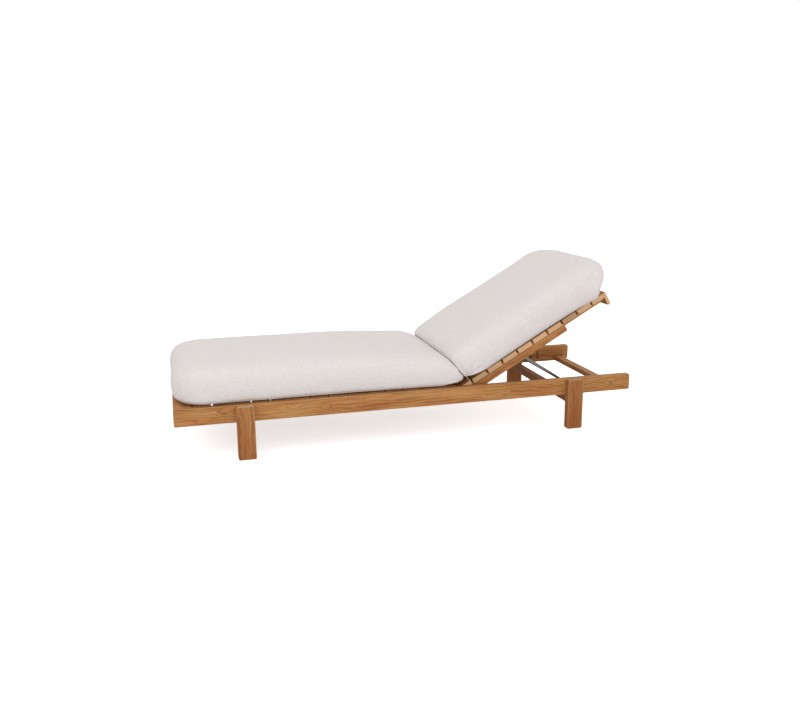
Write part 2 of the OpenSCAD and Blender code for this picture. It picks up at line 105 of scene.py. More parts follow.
# %% The back's own plane
hinge = next(j for j in frame["joints"] if j["name"] == "back_recline")
BACK_ANGLE = -math.radians(hinge["range_deg"][0])
BACK = Matrix.Translation(Vector(hinge["pos_m"])) @ Matrix.Rotation(-BACK_ANGLE, 4, "Y")
UNTILT = BACK.inverted()
SLAT_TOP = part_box("seat_slat_3")[1].z
SLAT_TOP_ON_BACK = SLAT_TOP - hinge["pos_m"][2]
print(f"back raised {math.degrees(BACK_ANGLE):.1f} degrees, deck at {SLAT_TOP:.3f} m")

# %% [markdown]
# ## Small helpers for materials
# A material is a small network of nodes. It could be drawn in the editor, but a script can be
# read and repeated. `wire` makes a node, sets its plain values and links its inputs in one
# line, which keeps each network readable from top to bottom.

# %% Node helpers
def wire(tree, kind, values=None, links=None, **settings):
    """Adds a node: settings are its own options, values its plain inputs, links its linked ones."""
    made = tree.nodes.new(kind)
    for name, value in settings.items():
        setattr(made, name, value)
    for key, value in (values or {}).items():
        made.inputs[key].default_value = value
    for key, source in (links or {}).items():
        tree.links.new(source, made.inputs[key])
    return made


def sums(tree, operation, a, b, clamp=False):
    """A Math node on two inputs, each a socket or a number."""
    made = tree.nodes.new("ShaderNodeMath")
    made.operation, made.use_clamp = operation, clamp
    for key, value in ((0, a), (1, b)):
        if isinstance(value, (int, float)):
            made.inputs[key].default_value = value
        elif value is not None:
            tree.links.new(value, made.inputs[key])
    return made.outputs[0]


def blend_colour(tree, factor, a, b, mode="MIX"):
    """A Mix node on two colours; factor, a and b are sockets or plain values."""
    made = tree.nodes.new("ShaderNodeMix")
    made.data_type, made.blend_type, made.clamp_factor = "RGBA", mode, True
    for key, value in ((0, factor), (6, a), (7, b)):
        if isinstance(value, bpy.types.NodeSocket):
            tree.links.new(value, made.inputs[key])
        else:
            made.inputs[key].default_value = value
    return made.outputs[2]


print("node helpers ready")

# %% Groups, colours and materials
def new_group(name, inputs, outputs):
    """An empty shader group with named sockets, as (group, its input node, its output node)."""
    group = bpy.data.node_groups.new(name, "ShaderNodeTree")
    for label, kind in inputs:
        group.interface.new_socket(label, in_out="INPUT", socket_type="NodeSocket" + kind)
    for label, kind in outputs:
        group.interface.new_socket(label, in_out="OUTPUT", socket_type="NodeSocket" + kind)
    return group, group.nodes.new("NodeGroupInput"), group.nodes.new("NodeGroupOutput")


def colour(r, g, b):
    """A colour written as 0 to 255 screen values, as the linear one that shaders use."""
    def linear(v):
        v /= 255
        return v / 12.92 if v <= 0.04045 else ((v + 0.055) / 1.055) ** 2.4
    return (linear(r), linear(g), linear(b), 1)


def new_material(name, roughness, specular, metallic=0.0):
    """A material with one Principled shader whose constants are set on its own sockets."""
    material = bpy.data.materials.new(name)
    material.use_nodes = True
    shader = material.node_tree.nodes["Principled BSDF"]
    shader.inputs["Roughness"].default_value = roughness
    shader.inputs["Specular IOR Level"].default_value = specular
    shader.inputs["Metallic"].default_value = metallic
    return material, material.node_tree, shader


print("group, colour and material helpers ready")

# %% [markdown]
# ## Teak, as a shared effect
# Teak shows three things at three scales: growth rings that a saw cuts into long arches, fine
# fibres along the board, and short dark pores. A flat picture could not give matching faces
# and ends, so the figure is solid: rings are distances from the log's heart, and every face of
# a board cuts through them. Noise bends the rings, and they swirl round a few small knots.
# Each board carries its own `grain` attribute, which holds a point's place in its log, so
# boards differ and the grain follows the board's length.

# %% The sizes of the figure, and its group
# Metres from one growth ring to the next
RING_GAP = 0.0105
# Scales of the noises, for each metre along and across the grain
ARCH_SCALE, RIPPLE_SCALE = (2.6, 13), (17, 80)
BAND_SCALE, BLUSH_SCALE, FIBRE_SCALE, PORE_SCALE = (3.0, 38), (4.5, 15), (16, 620), (90, 1500)
KNOT_SCALE = (8, 15, 15)
# How many rings' width each of them shifts a ring
ARCH_BEND, RIPPLE_BEND, KNOT_BEND = 5.5, 1.0, 1.6
# How fast a knot's heart and the swirl round it fade, and the level above which pores show
KNOT_FADE, SWIRL_FADE, PORE_LEVEL = 7.0, 3.0, 0.69

figure, fig_in, fig_out = new_group(
    "teak_figure", [("Grain", "Vector"), ("Tone", "Float"), ("End", "Float")],
    [("Color", "Color"), ("Roughness", "Float"), ("Height", "Float")])
print("figure group", figure.name, "with", len(figure.interface.items_tree), "sockets")

# %% Noises and rings
def stretched_noise(tree, vector, scale, detail):
    """Noise drawn out along the grain, with a scale along it and one across it."""
    along, across = scale
    scaled = wire(tree, "ShaderNodeVectorMath", {1: (along, across, across)}, {0: vector},
                  operation="MULTIPLY")
    return wire(tree, "ShaderNodeTexNoise", {"Scale": 1.0, "Detail": detail, "Roughness": 0.55},
                {"Vector": scaled.outputs[0]}).outputs["Fac"]


grain = fig_in.outputs["Grain"]
arches = stretched_noise(figure, grain, ARCH_SCALE, 2)
ripple = stretched_noise(figure, grain, RIPPLE_SCALE, 2)
parts = wire(figure, "ShaderNodeSeparateXYZ", links={0: grain})
radius = sums(figure, "SQRT", sums(figure, "ADD", sums(figure, "POWER", parts.outputs[1], 2),
                                   sums(figure, "POWER", parts.outputs[2], 2)), None)
knot_place = wire(figure, "ShaderNodeVectorMath", {1: KNOT_SCALE}, {0: grain}, operation="MULTIPLY")
knot_cells = wire(figure, "ShaderNodeTexVoronoi", {"Scale": 1.0}, {"Vector": knot_place.outputs[0]})
knot_reach = knot_cells.outputs["Distance"]
knots = sums(figure, "SUBTRACT", 1.0, sums(figure, "MULTIPLY", knot_reach, KNOT_FADE), clamp=True)
swirl = sums(figure, "SUBTRACT", 1.0, sums(figure, "MULTIPLY", knot_reach, SWIRL_FADE), clamp=True)
bent = sums(figure, "ADD", sums(figure, "MULTIPLY", arches, ARCH_BEND),
            sums(figure, "MULTIPLY", ripple, RIPPLE_BEND))
bent = sums(figure, "ADD", bent, sums(figure, "MULTIPLY", swirl, KNOT_BEND))
ring_place = sums(figure, "ADD", sums(figure, "DIVIDE", radius, RING_GAP), bent)
ring_wave = sums(figure, "SINE", sums(figure, "MULTIPLY", ring_place, math.tau), None)
rings = sums(figure, "MULTIPLY_ADD", ring_wave, 0.5)
rings.node.inputs[2].default_value = 0.5
bands = stretched_noise(figure, grain, BAND_SCALE, 3)
blush = stretched_noise(figure, grain, BLUSH_SCALE, 2)
fibres = stretched_noise(figure, grain, FIBRE_SCALE, 3)
pores = sums(figure, "GREATER_THAN", stretched_noise(figure, grain, PORE_SCALE, 1), PORE_LEVEL)
print(len(figure.nodes), "nodes draw the figure")

# %% [markdown]
# The ring lines darken the wood only a little, and slow bands of tone do the most, as on the
# oiled rails. Cut ends and pores, knots and each board's own tone are laid over that in turn,
# because mixing one over the other keeps every colour between those written here.

# %% Teak colours
TEAK_PALE, TEAK_GOLD, TEAK_ROSE = colour(206, 156, 98), colour(181, 126, 67), colour(179, 106, 58)
TEAK_DEEP, TEAK_RED, TEAK_END = colour(120, 70, 32), colour(118, 60, 22), colour(220, 182, 142)
TEAK_PORE, TEAK_KNOT, TEAK_RUBBED = colour(104, 60, 30), colour(92, 46, 24), colour(222, 184, 142)
ROSY_SHARE, END_SHARE, PORE_SHARE, KNOT_SHARE = 0.6, 0.85, 0.45, 0.75
# How strongly bands and fibres make gold streaks and deep ring lines, less a level that hides
# the weakest of them, and the level and gain from which the wood turns rosy
STREAK_BANDS, STREAK_FIBRES, STREAK_LESS = 1.9, 0.6, 0.75
RING_BANDS, RING_LESS = 1.4, 0.25
ROSY_RAMP = (0.38, 3.2)


def ramp(tree, source, start, gain):
    """0 below a start, then rising with a gain, up to 1."""
    return sums(tree, "MULTIPLY", sums(tree, "SUBTRACT", source, start), gain, clamp=True)


streak = sums(figure, "ADD", sums(figure, "MULTIPLY", bands, STREAK_BANDS),
              sums(figure, "MULTIPLY", fibres, STREAK_FIBRES))
streak = sums(figure, "SUBTRACT", streak, STREAK_LESS, clamp=True)
wood = blend_colour(figure, streak, TEAK_PALE, TEAK_GOLD)
rosy = sums(figure, "MULTIPLY", ramp(figure, blush, *ROSY_RAMP), ROSY_SHARE)
wood = blend_colour(figure, rosy, wood, TEAK_ROSE)
ring_depth = sums(figure, "SUBTRACT", sums(figure, "MULTIPLY", bands, RING_BANDS), RING_LESS, clamp=True)
lined = sums(figure, "MULTIPLY", rings, ring_depth)
wood = blend_colour(figure, lined, wood, TEAK_DEEP)
wood = blend_colour(figure, sums(figure, "MULTIPLY", fig_in.outputs["End"], END_SHARE), wood, TEAK_END)
wood = blend_colour(figure, sums(figure, "MULTIPLY", pores, PORE_SHARE), wood, TEAK_PORE)
wood = blend_colour(figure, sums(figure, "MULTIPLY", knots, KNOT_SHARE), wood, TEAK_KNOT)
wood = blend_colour(figure, fig_in.outputs["Tone"], wood, TEAK_RED)
print("teak colours mixed into", wood.node.name)

# %% [markdown]
# Oil fills the pores but not every fibre, so the gloss changes with the fibres. The same
# fibres, ring lines and pores give a fine relief. It is too small for real geometry, so a
# bump does it. Rubbed edges are the same wood, drier and paler, as a second material.

# %% Relief, gloss and the two teak materials
FIBRE_RELIEF, RING_RELIEF, PORE_RELIEF = 0.6, 0.25, 0.5
FIBRE_GLOSS, OIL_GLOSS = 0.25, 0.48
EDGE_WEAR = 0.28
relief = sums(figure, "ADD", sums(figure, "MULTIPLY", fibres, FIBRE_RELIEF),
              sums(figure, "MULTIPLY", rings, RING_RELIEF))
relief = sums(figure, "SUBTRACT", relief, sums(figure, "MULTIPLY", pores, PORE_RELIEF))
gloss = sums(figure, "ADD", sums(figure, "MULTIPLY", fibres, FIBRE_GLOSS), OIL_GLOSS)
for label, source in (("Color", wood), ("Roughness", gloss), ("Height", relief)):
    figure.links.new(source, fig_out.inputs[label])


def teak_material(name, wear):
    """Oiled teak. Wear blends in the paler, drier wood of rubbed edges."""
    material, tree, shader = new_material(name, 0.6, 0.22)
    grain_read = wire(tree, "ShaderNodeAttribute", attribute_name="grain")
    tone_read = wire(tree, "ShaderNodeAttribute", attribute_name="tone")
    end_read = wire(tree, "ShaderNodeAttribute", attribute_name="end")
    use = wire(tree, "ShaderNodeGroup", node_tree=figure)
    tree.links.new(grain_read.outputs["Vector"], use.inputs["Grain"])
    tree.links.new(tone_read.outputs["Fac"], use.inputs["Tone"])
    tree.links.new(end_read.outputs["Fac"], use.inputs["End"])
    tint = blend_colour(tree, wear, use.outputs["Color"], TEAK_RUBBED)
    tree.links.new(tint, shader.inputs["Base Color"])
    tree.links.new(use.outputs["Roughness"], shader.inputs["Roughness"])
    bump = wire(tree, "ShaderNodeBump", {"Strength": 0.35, "Distance": 0.0004},
                {"Height": use.outputs["Height"]})
    tree.links.new(bump.outputs[0], shader.inputs["Normal"])
    return material


TEAK = teak_material("teak_oiled", 0.0)
TEAK_EDGE = teak_material("teak_rubbed_edge", EDGE_WEAR)
print("teak materials", TEAK.name, TEAK_EDGE.name)

# %% [markdown]
# ## Brushed stainless steel
# The prop's rod and arms and all the bolts are plain stainless. Fine scratches run one way,
# and no one of them is seen by itself, so a noise drawn out along them stands for them all. It
# changes the roughness and a little of the brightness.

# %% Steel
STEEL_LINES = (40, 40, 900)
STEEL_DARK, STEEL_LIGHT = colour(112, 113, 106), colour(160, 160, 152)
brushed, brushed_in, brushed_out = new_group(
    "brushed_lines", [("Vector", "Vector")],
    [("Shade", "Color"), ("Roughness", "Float"), ("Height", "Float")])
lines = wire(brushed, "ShaderNodeVectorMath", {1: STEEL_LINES}, {0: brushed_in.outputs[0]},
             operation="MULTIPLY")
scratched = wire(brushed, "ShaderNodeTexNoise", {"Scale": 1.0, "Detail": 3.0}, {"Vector": lines.outputs[0]})
scratch = scratched.outputs["Fac"]
shade = blend_colour(brushed, scratch, STEEL_DARK, STEEL_LIGHT)
dullness = sums(brushed, "ADD", sums(brushed, "MULTIPLY", scratch, 0.25), 0.22)
for label, source in (("Shade", shade), ("Roughness", dullness), ("Height", scratch)):
    brushed.links.new(source, brushed_out.inputs[label])

STEEL, tree, shader = new_material("brushed_steel", 0.32, 0.5, metallic=1.0)
place = wire(tree, "ShaderNodeTexCoord")
use = wire(tree, "ShaderNodeGroup", node_tree=brushed)
tree.links.new(place.outputs["Object"], use.inputs["Vector"])
tree.links.new(use.outputs["Shade"], shader.inputs["Base Color"])
tree.links.new(use.outputs["Roughness"], shader.inputs["Roughness"])
bump = wire(tree, "ShaderNodeBump", {"Strength": 0.2, "Distance": 0.0001}, {"Height": use.outputs["Height"]})
tree.links.new(bump.outputs[0], shader.inputs["Normal"])
print("steel material", STEEL.name)

# %% [markdown]
# ## Boards with softened edges
# Real boards have their sharp corners taken off, and that thin bright line is what makes wood
# look like wood. A CAD mesh is loose triangles, so a copy is merged and its flat faces are
# joined first. Then the long outline edges are bevelled, while the rims of screw holes, which
# are small circles, are left alone.

# %% Edge helpers
SHARP, FLAT = math.radians(30), math.radians(0.5)
DOUBLE = 0.00002
HOLE_REACH, HOLE_ROUNDNESS = 0.03, 0.02


def merged_copy(node):
    """A bmesh of a CAD node with doubles merged and flat faces joined."""
    bm = bmesh.new()
    bm.from_mesh(nodes[node].data)
    bmesh.ops.remove_doubles(bm, verts=bm.verts, dist=DOUBLE)
    bmesh.ops.dissolve_limit(bm, angle_limit=FLAT, verts=bm.verts, edges=bm.edges)
    return bm


def mesh_from(bm, name):
    """Writes a bmesh into a new mesh and frees it."""
    mesh = bpy.data.meshes.new(name)
    bm.to_mesh(mesh)
    bm.free()
    return mesh


print("merging ready, with flat faces within", round(math.degrees(FLAT), 2), "degrees")

# %% Finding and rounding the outline
def sharp_groups(bm):
    """Sharp edges, gathered into groups that hang together."""
    left = {e for e in bm.edges if len(e.link_faces) == 2 and e.calc_face_angle(0) > SHARP}
    groups = []
    while left:
        todo, group = [left.pop()], []
        while todo:
            edge = todo.pop()
            group.append(edge)
            for vert in edge.verts:
                near = [e for e in vert.link_edges if e in left]
                left.difference_update(near)
                todo.extend(near)
        groups.append(group)
    return groups


def is_hole(group):
    """True for a small round rim, such as a screw hole's."""
    points = [v.co for e in group for v in e.verts]
    middle = sum(points, Vector()) / len(points)
    reach = [(p - middle).length for p in points]
    return max(reach) < HOLE_REACH and max(reach) - min(reach) < HOLE_ROUNDNESS * max(reach)


def soften(bm, width, segments=2):
    """Bevels the outline edges; the new faces take material 1, for rubbed wood."""
    outline = [e for group in sharp_groups(bm) if not is_hole(group) for e in group]
    bmesh.ops.bevel(bm, geom=outline, offset=width, offset_type="OFFSET", affect="EDGES", segments=segments,
                    profile=0.5, material=1, clamp_overlap=True)


print("outline edges are those sharper than", round(math.degrees(SHARP)), "degrees")

# %% [markdown]
# Each board then gets its place in the log, its own tone, and a mark on its cut ends. The
# grain runs along X for rails, ledgers and bearers, along Z for legs, and along Y for every
# crosspiece and slat.

# %% Dress one board
BOARD_EDGE, SLAT_EDGE, GRIP_EDGE = 0.0016, 0.0014, 0.002
# How far along its log a board may lie, and how far beside and above the log's heart
LOG_SHIFT, HEART_ASIDE, HEART_BELOW = 4, (0.05, 0.14), (0.03, 0.12)
END_FACING = 0.8
draw = random.Random(11)
TURN = {"x": Matrix.Identity(3), "y": Matrix(((0, 1, 0), (0, 0, 1), (1, 0, 0))),
        "z": Matrix(((0, 0, 1), (1, 0, 0), (0, 1, 0)))}


def board(node, body, along, tone, width=BOARD_EDGE, tilted=False):
    """A softened copy of a CAD board, with its grain laid along one axis, in place of the node."""
    bm = merged_copy(node)
    soften(bm, width)
    to_log = TURN[along].to_4x4() @ (UNTILT if tilted else Matrix.Identity(4))
    heart = Vector((draw.uniform(-LOG_SHIFT, LOG_SHIFT),
                    draw.choice((-1, 1)) * draw.uniform(*HEART_ASIDE), draw.uniform(*HEART_BELOW)))
    grain_layer = bm.verts.layers.float_vector.new("grain")
    tone_layer = bm.verts.layers.float.new("tone")
    end_layer = bm.faces.layers.float.new("end")
    log_points = {v: to_log @ v.co for v in bm.verts}
    middle = sum(log_points.values(), Vector()) / len(log_points)
    for vert, point in log_points.items():
        vert[grain_layer] = point - Vector((0, middle.y, middle.z)) + heart
        vert[tone_layer] = tone
    turn = to_log.to_3x3()
    for face in bm.faces:
        face[end_layer] = 1.0 if abs((turn @ face.normal).x) > END_FACING else 0.0
        face.smooth = True
    piece = add_object(node + "_board", mesh_from(bm, node + "_board"))
    for material in (TEAK, TEAK_EDGE):
        piece.data.materials.append(material)
    piece.modifiers.new("even_shading", "WEIGHTED_NORMAL").keep_sharp = True
    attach(piece, body)
    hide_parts(node)
    return piece


print("board maker ready, edges", [1000 * e for e in (BOARD_EDGE, SLAT_EDGE, GRIP_EDGE)], "mm")

# %% [markdown]
# ## The frame's boards
# Rails and legs carry the tones of the photograph: the legs are deeper and redder than the
# rails. The head legs and the head stretcher are deeper still, which is painted shade, for the
# shade under the back.

# %% Rails, legs, ledgers and crosspieces
boards = []
# The deeper tones of the head legs and the head stretcher are painted shade under the back.
FRAME_BOARDS = (
    ("left_rail", "x", 0.09), ("right_rail", "x", 0.02),
    ("foot_left_leg", "z", 0.3), ("foot_right_leg", "z", 0.24),
    ("head_left_leg", "z", 0.44), ("head_right_leg", "z", 0.6),
    ("left_ledger", "x", 0.22), ("right_ledger", "x", 0.3),
    ("foot_stretcher", "y", 0.25), ("head_stretcher", "y", 0.5),
    ("foot_crossbar", "y", 0.15), ("head_crossbar", "y", 0.12))
for name, along, tone in FRAME_BOARDS:
    boards.append(board(name, "frame", along, tone))
print(len(boards), "boards of the frame")

# %% [markdown]
# ## The slats
# Twenty-four slats and the head slat are one board repeated, but no two come from the same
# log. A short list of tones repeats along the seat, and on the back one slat is clearly redder.

# %% Slats, bearers and the grip board
SEAT_TONES = (0.1, 0.0, 0.22, 0.05, 0.14, 0.3, 0.02, 0.18)
BACK_TONES = (0.2, 0.26, 0.14, 0.12, 0.04, 0.0, 0.08, 0.4, 0.04)
SEAT_SLATS = 15
for k in range(SEAT_SLATS):
    tone = SEAT_TONES[k % len(SEAT_TONES)]
    boards.append(board(f"seat_slat_{k + 1}", "frame", "y", tone, SLAT_EDGE))
for k, tone in enumerate(BACK_TONES):
    boards.append(board(f"back_slat_{k + 1}", "back", "y", tone, SLAT_EDGE, tilted=True))
for name, width in (("head_slat", SLAT_EDGE), ("grip_board", GRIP_EDGE)):
    boards.append(board(name, "back", "y", 0.0, width, tilted=True))
for name, tone in (("left_bearer", 0.0), ("right_bearer", 0.1)):
    boards.append(board(name, "back", "x", tone, SLAT_EDGE, tilted=True))
print(len(boards), "boards in all,", sum(len(b.data.polygons) for b in boards), "faces")

# %% [markdown]
# ## Steel pieces
# The prop's rod and arms, the bolts, screws and washers are turned and cut from plain bar and
# plate. The CAD shapes already look like that, so they stay and only take the steel finish.

# %% Steel on the CAD nodes
STEEL_NODES = [n for n in nodes if n.endswith(("screws", "prop_arm")) or n.startswith("prop_")
               or "bolts" in n or "washers" in n]
for name in STEEL_NODES:
    nodes[name].data.materials.clear()
    nodes[name].data.materials.append(STEEL)
print(len(STEEL_NODES), "steel nodes")

# %% [markdown]
# ## Cushion cloth, as a finish
# The cloth is a pale, warm grey weave with fine flecks and, very faintly, warmer clouds. A
# picture of cloth would need to be unwrapped round both cushions, so the weave is solid too:
# fine waves along each axis stand for the threads, two sets of which cross on every side, and
# the flecks are noise in two sizes.

# %% The weave group
THREAD = 0.0024
FLECK_SCALE, SLUB_SCALE, CLOUD_SCALE = 420, 240, 7
THREAD_RELIEF, WARM_SHARE = 0.35, 0.35
FLECK_RAMP, CLOUD_RAMP = (0.36, 3.6), (0.38, 3.0)
CLOTH_DARK, CLOTH_LIGHT, CLOTH_WARM = colour(210, 203, 201), colour(234, 230, 228), colour(228, 217, 214)
weave, weave_in, weave_out = new_group(
    "flecked_weave", [("Vector", "Vector")], [("Color", "Color"), ("Height", "Float")])
threads = wire(weave, "ShaderNodeVectorMath", {1: (math.tau / THREAD,) * 3}, {0: weave_in.outputs[0]},
               operation="MULTIPLY")
waved = wire(weave, "ShaderNodeVectorMath", links={0: threads.outputs[0]}, operation="SINE")
crossing = wire(weave, "ShaderNodeVectorMath", links={0: waved.outputs[0]}, operation="ABSOLUTE")
waves = wire(weave, "ShaderNodeSeparateXYZ", links={0: crossing.outputs[0]})
cloth_relief = sums(weave, "ADD", sums(weave, "ADD", waves.outputs[0], waves.outputs[1]), waves.outputs[2])
print("threads every", 1000 * THREAD / 2, "mm")

# %% Flecks, clouds and relief
def cloth_noise(scale, detail):
    """Even noise on the cloth, at a scale for each metre."""
    made = wire(weave, "ShaderNodeTexNoise", {"Scale": scale, "Detail": detail},
                {"Vector": weave_in.outputs[0]})
    return made.outputs["Fac"]


fleck, slub, cloud = cloth_noise(FLECK_SCALE, 2), cloth_noise(SLUB_SCALE, 2), cloth_noise(CLOUD_SCALE, 3)
speck = sums(weave, "ADD", sums(weave, "MULTIPLY", fleck, 0.5), sums(weave, "MULTIPLY", slub, 0.5))
cloth_colour = blend_colour(weave, ramp(weave, speck, *FLECK_RAMP), CLOTH_DARK, CLOTH_LIGHT)
warm = sums(weave, "MULTIPLY", ramp(weave, cloud, *CLOUD_RAMP), WARM_SHARE)
cloth_colour = blend_colour(weave, warm, cloth_colour, CLOTH_WARM)
weave.links.new(cloth_colour, weave_out.inputs["Color"])
cloth_height = sums(weave, "ADD", sums(weave, "MULTIPLY", cloth_relief, THREAD_RELIEF), fleck)
weave.links.new(cloth_height, weave_out.inputs["Height"])
print(len(weave.nodes), "nodes draw the weave")

# %% Cloth materials
def cloth_material(name, tilt):
    """The flecked weave, with its threads turned to lie along a cushion."""
    material, tree, shader = new_material(name, 0.92, 0.2)
    shader.inputs["Sheen Weight"].default_value = 0.15
    shader.inputs["Sheen Roughness"].default_value = 0.5
    place = wire(tree, "ShaderNodeTexCoord")
    turned = wire(tree, "ShaderNodeMapping", {"Rotation": (0, tilt, 0)}, {"Vector": place.outputs["Object"]})
    use = wire(tree, "ShaderNodeGroup", node_tree=weave)
    tree.links.new(turned.outputs[0], use.inputs["Vector"])
    tree.links.new(use.outputs["Color"], shader.inputs["Base Color"])
    bump = wire(tree, "ShaderNodeBump", {"Strength": 0.5, "Distance": 0.0006},
                {"Height": use.outputs["Height"]})
    tree.links.new(bump.outputs[0], shader.inputs["Normal"])
    return material


SEAT_CLOTH = cloth_material("cushion_cloth_seat", 0.0)
BACK_CLOTH = cloth_material("cushion_cloth_back", BACK_ANGLE)
print("cloth materials", SEAT_CLOTH.name, BACK_CLOTH.name)

# %% [markdown]
# ## Cushions
# A foam cushion in a sewn cover is tight and round all over, and flat only where it lies on
# the slats. It could be sculpted or subdivided from a box, but then its swell would be
# guesswork. So each starts as a fine remeshed copy of its CAD solid, with faces of one size,
# which cloth needs. Its form is then moved a little by rule, the cover is blown up as cloth
# under pressure, with no gravity, and the result is kept.

# %% A fine copy of a CAD cushion
VOXEL = 0.010


def keep_modified(piece):
    """Replaces a piece's mesh with its evaluated one, and clears its modifiers."""
    bpy.context.view_layer.update()
    seen = piece.evaluated_get(bpy.context.evaluated_depsgraph_get())
    mesh = bpy.data.meshes.new_from_object(seen)
    piece.modifiers.clear()
    piece.data = mesh
    return piece


def fine_copy(node, name):
    """A voxel remesh of a CAD solid, as a new object."""
    bm = merged_copy(node)
    bmesh.ops.triangulate(bm, faces=bm.faces)
    piece = add_object(name, mesh_from(bm, name))
    remesh = piece.modifiers.new("remesh", "REMESH")
    remesh.mode, remesh.voxel_size = "VOXEL", VOXEL
    return keep_modified(piece)


print("cushions are remeshed every", 1000 * VOXEL, "mm")

# %% [markdown]
# Pressure alone would blow a cover up like a balloon, because nothing in it ties top to
# bottom. Foam does that in the real cushion. Here every point is held softly to its place, as
# by a weak pin, and the slats hold the underside more firmly, so the cover only swells a
# little between them. The cover is cut slightly large, as a real one is.

# %% The cover under pressure
SIM_FRAMES, PRESSURE = 20, 4.0
FOAM_HOLD, DECK_HOLD = 0.16, 0.7
COVER_SPARE, SWELL_CAP = 0.008, 0.024


def blow_up(piece, lies_on):
    """Runs Blender's cloth under pressure. lies_on says which points rest on the slats."""
    start = [v.co.copy() for v in piece.data.vertices]
    hold = piece.vertex_groups.new(name="hold")
    for vert in piece.data.vertices:
        hold.add([vert.index], DECK_HOLD if lies_on(vert) else FOAM_HOLD, "REPLACE")
    cloth = piece.modifiers.new("cloth", "CLOTH")
    cover = cloth.settings
    cover.quality, cover.mass = 4, 0.3
    cover.tension_stiffness = cover.compression_stiffness = 12
    cover.shear_stiffness, cover.bending_stiffness = 5, 0.3
    cover.use_pressure, cover.uniform_pressure_force = True, PRESSURE
    cover.effector_weights.gravity = 0
    cover.vertex_group_mass, cover.pin_stiffness = hold.name, 1.0
    cover.shrink_min = -COVER_SPARE
    cloth.collision_settings.use_collision = False
    for k in range(1, SIM_FRAMES + 1):
        scene.frame_set(k)
    keep_modified(piece)
    scene.frame_set(1)
    swell = []
    for vert, first in zip(piece.data.vertices, start):
        step = vert.co - first
        swell.append(step.length)
        if step.length > SWELL_CAP:
            vert.co = first + step.normalized() * SWELL_CAP
    print(piece.name, f"swells {1000 * sum(swell) / len(swell):.1f} mm, at most {1000 * max(swell):.1f} mm")


print("a cover may swell by", 1000 * SWELL_CAP, "mm")

# %% [markdown]
# The two cushions meet in one slanting plane, the crease, and lie on slats. Real cushions
# can't pass either, and letting the cloth collide with them would be slow and would leave
# gaps. So each point that passes is put back on the plane, with a hair's breadth to spare.

# %% Staying clear of the slats and the crease
CREASE_POINT, CREASE_NORMAL = Vector((0.190, 0, 0.297)), Vector((0.8, 0, 0.6))
CREASE_SPARE, SLAT_SPARE = 0.0006, 0.0004
DECK_SEAT = (Matrix.Identity(4), SLAT_TOP)
DECK_BACK = (UNTILT, SLAT_TOP_ON_BACK)


def stay_clear(piece, deck, facing):
    """Keeps a cushion above its slats and on its own side of the crease. deck is a matrix that
    lays the slats level, and the height of their top there."""
    turn, level = deck
    back_turn = turn.inverted()
    for vert in piece.data.vertices:
        past = facing * (vert.co - CREASE_POINT).dot(CREASE_NORMAL) + CREASE_SPARE
        if past > 0:
            vert.co -= facing * CREASE_NORMAL * past
        flat = turn @ vert.co
        if flat.z < level + SLAT_SPARE:
            flat.z = level + SLAT_SPARE
            vert.co = back_turn @ flat


print("the crease leans", round(math.degrees(math.atan2(CREASE_NORMAL.z, CREASE_NORMAL.x))), "degrees")

# %% [markdown]
# Where the two cushions meet, each pushes the other in, so the crease of the photograph is
# closed, with a small dark triangle left under it. The seat cushion's end leans out to the
# plane where they meet, while its lowest stretch stays back. Its top rises a little at the
# foot end and sinks towards the crease. Each such move is faded in over a zone, written as
# where it starts and how wide it is, because a sudden one would leave a dent.

# %% The seat cushion's end
SEAT_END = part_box("seat_cushion")[1].x
SEAT_LEAN, SEAT_TUCK = 0.058, 0.024
SEAT_RISE, SEAT_SINK = 0.005, 0.012
# Zones along the cushion, from its end or from the scene's middle
END_ZONE, RISE_ZONE, SINK_ZONE = (-0.2, 0.18), (-0.1, 0.5), (-0.3, 0.4)
# Zones of height above the slats
LEAN_ZONE, TUCK_ZONE, TOP_ZONE = (0, 0.045), (0, 0.03), (0.05, 0.09)


def smooth_step(t):
    """0 below 0, 1 above 1, and a smooth rise between."""
    t = max(0.0, min(1.0, t))
    return t * t * (3 - 2 * t)


def fade(value, start, width):
    """0 up to the start of a zone, 1 past its width, and a smooth rise between."""
    return smooth_step((value - start) / width)


def fill_seat(co):
    """Moves a point of the seat cushion's end towards the crease, and slopes its top."""
    high = co.z - SLAT_TOP
    out = SEAT_LEAN * fade(high, *LEAN_ZONE) - SEAT_TUCK * (1 - fade(high, *TUCK_ZONE))
    slope = SEAT_RISE * fade(-co.x, *RISE_ZONE) - SEAT_SINK * fade(co.x, *SINK_ZONE)
    return co + Vector((fade(co.x - SEAT_END, *END_ZONE) * out, 0, fade(high, *TOP_ZONE) * slope))


print(f"the seat cushion ends at {SEAT_END:.3f} m and leans out by {1000 * SEAT_LEAN:.0f} mm")

# %% [markdown]
# The back cushion is the fuller one. Its lower end is drawn in at the foot and leans out to
# the crease above it. Its head end curls up and out over the slats, with wide round corners
# that are roundest below. A bevel can't round a corner again that is already round, so the
# corner's points are drawn towards its centre instead.

# %% The back cushion's corners and ends
HEAD_END = max((UNTILT @ v.co).x for v in nodes["back_cushion"].data.vertices)
CUSHION_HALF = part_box("back_cushion")[1].y
CAD_CORNER, CORNER, CORNER_TOP_EASE = 0.108, 0.215, 0.55
BACK_TUCK, BACK_LEAN, BACK_SWELL = 0.075, 0.014, 0.007
HEAD_CURL, HEAD_TOP, HEAD_MIDDLE, HEAD_TUCK = 0.018, 0.004, 0.024, 0.026
# Zones along the back: where the crease lets go, where the swell starts, and at the head end
CREASE_START, CREASE_WIDTH = 0.02, 0.18
SWELL_ZONE, HEAD_ZONE, CURL_ZONE = (0.05, 0.2), (-0.16, 0.14), (-0.16, 0.15)
